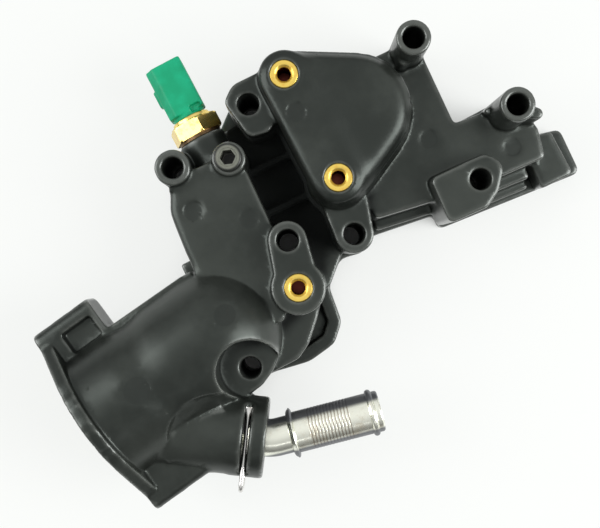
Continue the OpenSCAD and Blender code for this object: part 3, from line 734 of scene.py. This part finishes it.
def tube_along(path, angle, radius):
    """A round section carried along a path: each point of it leaves the path square to the way there."""
    way = ways_of(path)
    side = np.cross(way, front_way)
    side /= np.linalg.norm(side, axis=1, keepdims=True)
    return ringed(path, side, np.cross(side, way), angle, radius, radius)


def stub_points():
    """The tube's outside and bore: a radius for each length along a path of two straights and a bend."""
    neck_run = np.linspace(-neck_len, 0, 45)
    hose_run = np.linspace(0.3, hose_len, 260)
    neck = socket_face[None, :] + neck_run[:, None] * socket_way
    bend = np.arccos(np.clip(socket_way @ hose_way, -1, 1))
    inward = hose_way - (socket_way @ hose_way) * socket_way
    inward /= np.linalg.norm(inward)
    sweep = np.linspace(0, bend, 9)[1:, None]
    arc = socket_face + bend_r * np.sin(sweep) * socket_way + bend_r * (1 - np.cos(sweep)) * inward
    hose = hose_from[None, :] + hose_run[:, None] * hose_way
    path = np.concatenate([neck, arc, hose])
    run = np.concatenate([neck_run, np.zeros(len(arc)), hose_mark + hose_run])
    from_bend = run - hose_mark
    outer = neck_r + hose_step / (1 + np.exp(-np.maximum(from_bend - step_at, -20) / step_run))
    for at, wide, high in stub_beads:
        outer = outer + high * np.sqrt(np.clip(1 - ((run - at) / wide) ** 2, 0, 1))
    grip = grip_high * np.cos(2 * np.pi * (from_bend - grip_from) / grip_pitch)
    outer = outer + np.where((from_bend > grip_from) & (from_bend < grip_to), grip, 0.0)
    outer = outer - rim_deep * np.exp(-((from_bend - hose_len) / rim_run) ** 2)
    angle = np.linspace(0, 2 * np.pi, stub_sides, endpoint=False)
    outside = tube_along(path, angle, outer)
    inside = tube_along(path, angle, np.full_like(outer, bore_r))
    return np.concatenate([outside, inside[::-1]])


def plated_steel(name, clean, stained, rough, stain_scale, side_reflection_at=None, grooved=None):
    """Bright plating over steel: a warm white metal with faint brown water stains.

    Its sides can carry a painted dark reflection, and the grooves between its grip rings are coloured darker
    and browner.
    """
    finish = Finish(name)
    stain = finish.noise(stain_scale, 4.0, 0.6)
    speck = finish.noise(stain_scale * 9, 2.0)
    tone = finish.mixed(finish.ramp(stain, 0.52, 0.85), clean, stained)
    side_reflection = 0.0
    # The grooves between the grip rings are coloured darker and browner
    if grooved:
        start, way, first, last, pitch = grooved
        along = finish.along(start, way)
        turn = (along - first) * (2 * np.pi / pitch)
        wave = finish.node("ShaderNodeMath", {"operation": "COSINE"}, {0: turn})
        rings = finish.between(along, (first, first + 0.4 * mm), (last - 0.4 * mm, last))
        groove = (1 - finish.ramp(wave, -0.9, 0.1)) * rings
        tone = finish.mixed(groove * 0.75, tone, (0.36, 0.29, 0.22, 1))
    # Painted reflection: far enough to either side of a line along the tube, the metal is painted dark
    # blue-grey, less metallic and rougher, for the dark surroundings its sides would mirror
    if side_reflection_at:
        start, across, near, far = side_reflection_at
        side = finish.along(start, across)
        side_reflection = finish.ramp(side * side, near ** 2, far ** 2)
        tone = finish.mixed(side_reflection * 0.92, tone, (0.10, 0.105, 0.125, 1))
    finish.set(
        Base_Color=tone,
        Metallic=1 - 0.3 * side_reflection,
        Roughness=rough + 0.12 * stain + 0.15 * side_reflection,
        Normal=finish.bumped(speck, 0.006 * mm, 0.2),
    )
    return finish.material


# The hose's sides carry a painted dark reflection
pipe_plating = plated_steel(
    "pipe_plating", (0.96, 0.97, 0.86, 1), (0.66, 0.55, 0.38, 1), 0.20, 130.0,
    side_reflection_at=(tuple(stub_end * mm), tuple(hose_across), 5.0 * mm, 6.4 * mm),
    grooved=(tuple(hose_from * mm), tuple(hose_way), grip_from * mm, grip_to * mm, grip_pitch * mm))
stub = made("stub_pipe_tube", [stub_points()], loop_rows=True)
dressed(stub, pipe_plating, "housing", "stub_pipe")


# Spring clip
# A hairpin of bright spring wire drops through two holes in the socket, behind the pipe's bead.
# The ends are flattened so that they can be pushed, and the bow stands out below for pulling.
clip_at = socket_face - 8.0 * socket_way
clip_way = np.cross(front_way, socket_way)
clip_wire = 2.0
clip_bend = 2.6
leg_out = 9.0
leg_top = 13.0
leg_foot = -18.4
flat_from = 9.0
flat_run = 3.0
flat_wide = 0.55
flat_thin = 0.45


def capped(grid):
    """The rings of a wire with each end drawn together to the middle of its last ring."""
    ends = [np.broadcast_to(ring.mean(axis=0), grid[:1].shape) for ring in (grid[0], grid[-1])]
    return np.concatenate([ends[0], grid, ends[1]])


def clip_points():
    """Wire round a hairpin: two straight legs, two bends and a bow; each upper end is wider and thinner."""
    leg = np.linspace(leg_top, leg_foot, 64)
    quarter = np.linspace(0, np.pi / 2, 10)[1:]
    out = np.concatenate([np.full(len(leg), leg_out), leg_out - clip_bend * (1 - np.cos(quarter))])
    along = np.concatenate([leg, leg_foot - clip_bend * np.sin(quarter)])
    half = np.stack([out, along], axis=-1)
    flat = np.concatenate([half, (half * np.array([-1, 1]))[::-1]])
    path = clip_at + flat[:, :1] * front_way + flat[:, 1:] * clip_way
    way = ways_of(path)
    side = np.broadcast_to(socket_way, way.shape)
    angle = np.linspace(0, 2 * np.pi, 24, endpoint=False)
    end = eased((flat[:, 1] - flat_from) / flat_run)
    wide = clip_wire / 2 * (1 + flat_wide * end)
    thin = clip_wire / 2 * (1 - flat_thin * end)
    return capped(ringed(path, side, np.cross(way, side), angle, wide, thin))


spring_wire = plated_steel("spring_wire", (0.80, 0.79, 0.77, 1), (0.55, 0.47, 0.38, 1), 0.20, 220.0)
clip = made("spring_clip", [clip_points()])
dressed(clip, spring_wire, "clip", "pipe_clip")


# Thermostat
# A wax capsule pushes a valve disc off the stamped flange against the main spring when the coolant is hot.
# A smaller disc on a light spring shuts the bypass at the same time. All of it is stamped and spun metal.
mouth_at = np.array(mounts["mouth_bolts"]["pos_m"]) / mm
mouth_in = -np.array(mounts["mouth_bolts"]["axis"])
main_to = 29.0
main_len = 17.1
coil_closed = 0.08
broken_edge = 0.15


def coil_points(radius, wire, start, end, turns):
    """A helix of round wire: the angle runs with the length, and its ends close up flat for the seats."""
    turn = np.linspace(0, 2 * np.pi * turns, int(56 * turns))
    share = np.linspace(0, 1, len(turn))
    lay = np.clip((share - coil_closed) / (1 - 2 * coil_closed), 0, 1)
    run = start + wire / 2 + (end - start - wire) * lay
    across = np.cross(mouth_in, front_way)
    spoke = np.cos(turn)[:, None] * across + np.sin(turn)[:, None] * front_way
    path = mouth_at + run[:, None] * mouth_in + radius * spoke
    angle = np.linspace(0, 2 * np.pi, 16, endpoint=False)
    half = np.full(len(path), wire / 2)
    return capped(ringed(path, spoke, np.broadcast_to(mouth_in, spoke.shape), angle, half, half))


main_coil = coil_points(radius=11.0, wire=1.8, start=main_to - main_len, end=main_to, turns=4.5)
main_spring = made("main_spring_coil", [main_coil])
dressed(main_spring, spring_wire, "housing", "main_spring")
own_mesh(main_spring)
bypass_coil = coil_points(radius=5.0, wire=1.0, start=33.0, end=38.9, turns=2.5)
bypass_spring = made("bypass_spring_coil", [bypass_coil])
dressed(bypass_spring, spring_wire, "valve", "bypass_spring")


def softened(name, material):
    """A node of the frame with its material and its sharp edges broken by a small bevel."""
    node = coat_node(name, material)
    weld = node.modifiers.new("weld", "WELD")
    weld.merge_threshold = 1e-6
    bevel = node.modifiers.new("broken_edge", "BEVEL")
    bevel.width = broken_edge * mm
    bevel.segments = 2
    bevel.limit_method = "ANGLE"
    bevel.angle_limit = np.radians(40)


stamped_brass = brass("stamped_brass", (0.80, 0.66, 0.40, 1), (0.55, 0.38, 0.18, 1), 0.24)
wax_copper = brass("wax_copper", (0.80, 0.50, 0.32, 1), (0.50, 0.27, 0.15, 1), 0.26)
valve_steel = plated_steel("valve_steel", (0.68, 0.68, 0.66, 1), (0.48, 0.44, 0.38, 1), 0.24, 160.0)
softened("thermostat_flange", stamped_brass)
softened("wax_capsule", wax_copper)
for name in ("thermostat_cage", "valve_disc", "bypass_disc", "piston_pin"):
    softened(name, valve_steel)


# Bleed screw
# A black plastic screw with a hexagon socket lets air out at the top of the chamber.
# It is moulded in nylon and turns by hand or with a key.
bleed_at = np.array([-54.0, 3.2, 50.0])
bleed_key = 2.75
bleed_turn = 0.2
bleed_sides = 96


def screw_plastic():
    """Black moulded plastic with a paler worn ring round its dark key hole."""
    finish = Finish("screw_plastic")
    smudge = finish.noise(300.0, 3.0)
    ring = finish.between(finish.off_axis(bleed_at[0], bleed_at[1]), (2.3, 2.6), (4.3, 5.0))
    worn = finish.mixed(smudge, (0.105, 0.112, 0.090, 1), (0.165, 0.172, 0.140, 1))
    finish.set(
        Base_Color=finish.mixed(ring, (0.016, 0.018, 0.015, 1), worn),
        Roughness=0.30 + 0.16 * smudge,
    )
    return finish.material


def bleed_points():
    """A turned screw: shank, round head with a soft rim, and a six-sided socket sunk in the head."""
    head = [
        (0.0, -9.0), (3.2, -9.0), (3.7, -8.5), (3.7, 1.4), (5.2, 1.4), (5.5, 1.7),
        (5.5, 5.2), (5.35, 5.7), (4.95, 6.0), (4.2, 6.0), (3.75, 5.9), (3.55, 5.6),
    ]
    hole = [(3.3, 5.5), (3.1, 5.3), (3.1, 4.2), (3.1, -5.9)]
    profile = head + hole + [(2.0, -6.0), (0.0, -6.0)]

    def key(height, angle, row):
        radius = np.array([p[0] for p in profile])[row]
        sides = np.minimum(hexed(angle, bleed_key, bleed_turn), radius + 0.1)
        return np.where((row >= len(head)) & (row < len(head + hole)), sides - radius, 0.0)

    return bleed_at + turned(profile, bleed_sides, key)


bleed = made("bleed_screw_turned", [bleed_points()])
dressed(bleed, screw_plastic(), "vent_screw", "bleed_screw")


# Studio
# The part lies on its back on a white sheet that runs on past the picture, under soft light from all round.
# The camera looks straight down on it.
floor_z = cad_box[0][2]
floor_half = 3
studio_white = (0.93, 0.945, 0.928, 1)
picture_turn = np.radians(25.0)
corners = [(x * floor_half, y * floor_half, floor_z) for x, y in ((-1, -1), (1, -1), (1, 1), (-1, 1))]
floor_mesh = bpy.data.meshes.new("white_sheet")
floor_mesh.from_pydata(corners, [], [(0, 1, 2, 3)])
floor = bpy.data.objects.new("white_sheet", floor_mesh)
bpy.context.scene.collection.objects.link(floor)
sheet = Finish("white_sheet")
paper = sheet.noise(30.0, 2.0)
sheet.set(
    Base_Color=sheet.mixed(paper, (0.86, 0.875, 0.86, 1), (0.88, 0.895, 0.88, 1)),
    Roughness=0.85 + 0.05 * paper,
)
floor_mesh.materials.append(sheet.material)
ray = sheet.node("ShaderNodeLightPath", {}, {}, "Is Camera Ray")
ray = ray + sheet.node("ShaderNodeLightPath", {}, {}, "Is Glossy Ray")
glow = sheet.node("ShaderNodeEmission", {}, {"Color": studio_white})
lit = Value(sheet, sheet.shader.outputs[0])
clear = sheet.node("ShaderNodeAmbientOcclusion", {"samples": 8}, {"Distance": 0.03}, "AO")
share = ray * 0.8 * sheet.ramp(clear, 0.05, 0.6)
sheet.feed(sheet.output.inputs["Surface"], sheet.node("ShaderNodeMixShader", {}, {0: share, 1: lit, 2: glow}))

camera_data = bpy.data.cameras.new("camera")
camera_data.lens = 60.75
camera_data.sensor_width = 36.0
camera = bpy.data.objects.new("camera", camera_data)
camera.location = (-0.046, -0.0465, 0.450)
camera.rotation_euler = (0.0, 0.0, -picture_turn)
bpy.context.scene.collection.objects.link(camera)
bpy.context.scene.camera = camera

world = bpy.data.worlds.new("studio_light")
bpy.context.scene.world = world
sky = Nodes(world)
where = sky.node("ShaderNodeTexCoord", {}, {}, "Generated")
height = sky.node("ShaderNodeSeparateXYZ", {}, {0: where}, "Z")
picture_up = (np.sin(picture_turn), np.cos(picture_turn), 0.0)
upward = sky.node("ShaderNodeVectorMath", {"operation": "DOT_PRODUCT"}, {0: where, 1: picture_up}, "Value")
levels = [(0.0, 0.25), (0.22, 0.30), (0.45, 0.55), (0.75, 0.62), (0.93, 0.72), (1.0, 0.78)]
stops = [(at, (level, level * 1.005, level * 0.995, 1)) for at, level in levels]
bands = sky.node("ShaderNodeValToRGB", {"stops": stops}, {0: height})
background = sky.tree.nodes["Background"]
seen = sky.node("ShaderNodeLightPath", {}, {}, "Is Camera Ray")
sky.feed(background.inputs["Color"], sky.mixed(seen, bands, studio_white))
sky.feed(background.inputs["Strength"], 1.0 + 0.5 * upward * (1 - seen))
part_middle = Vector((-0.046, -0.046, 0.03))
lamp_away = 0.9


def softbox(name, bearing, rise, wide, high, level):
    """A flat lamp that faces the part: its power is its level times pi times its area."""
    lamp = bpy.data.lights.new(name, "AREA")
    lamp.shape = "RECTANGLE"
    lamp.size = wide
    lamp.size_y = high
    lamp.energy = level * np.pi * wide * high
    box = bpy.data.objects.new(name, lamp)
    turn, lift = np.radians(bearing), np.radians(rise)
    way = Vector((np.cos(lift) * np.cos(turn), np.cos(lift) * np.sin(turn), np.sin(lift)))
    box.location = part_middle + lamp_away * way
    box.rotation_euler = way.to_track_quat("Z", "Y").to_euler()
    box.visible_camera = False
    bpy.context.scene.collection.objects.link(box)


softbox("window_left", bearing=150.0, rise=34.0, wide=0.60, high=0.80, level=3.4)
softbox("window_right", bearing=-32.0, rise=34.0, wide=0.50, high=0.76, level=6.4)
softbox("window_low", bearing=-112.0, rise=46.0, wide=0.30, high=0.06, level=2.0)

bpy.context.scene.view_settings.view_transform = "Standard"
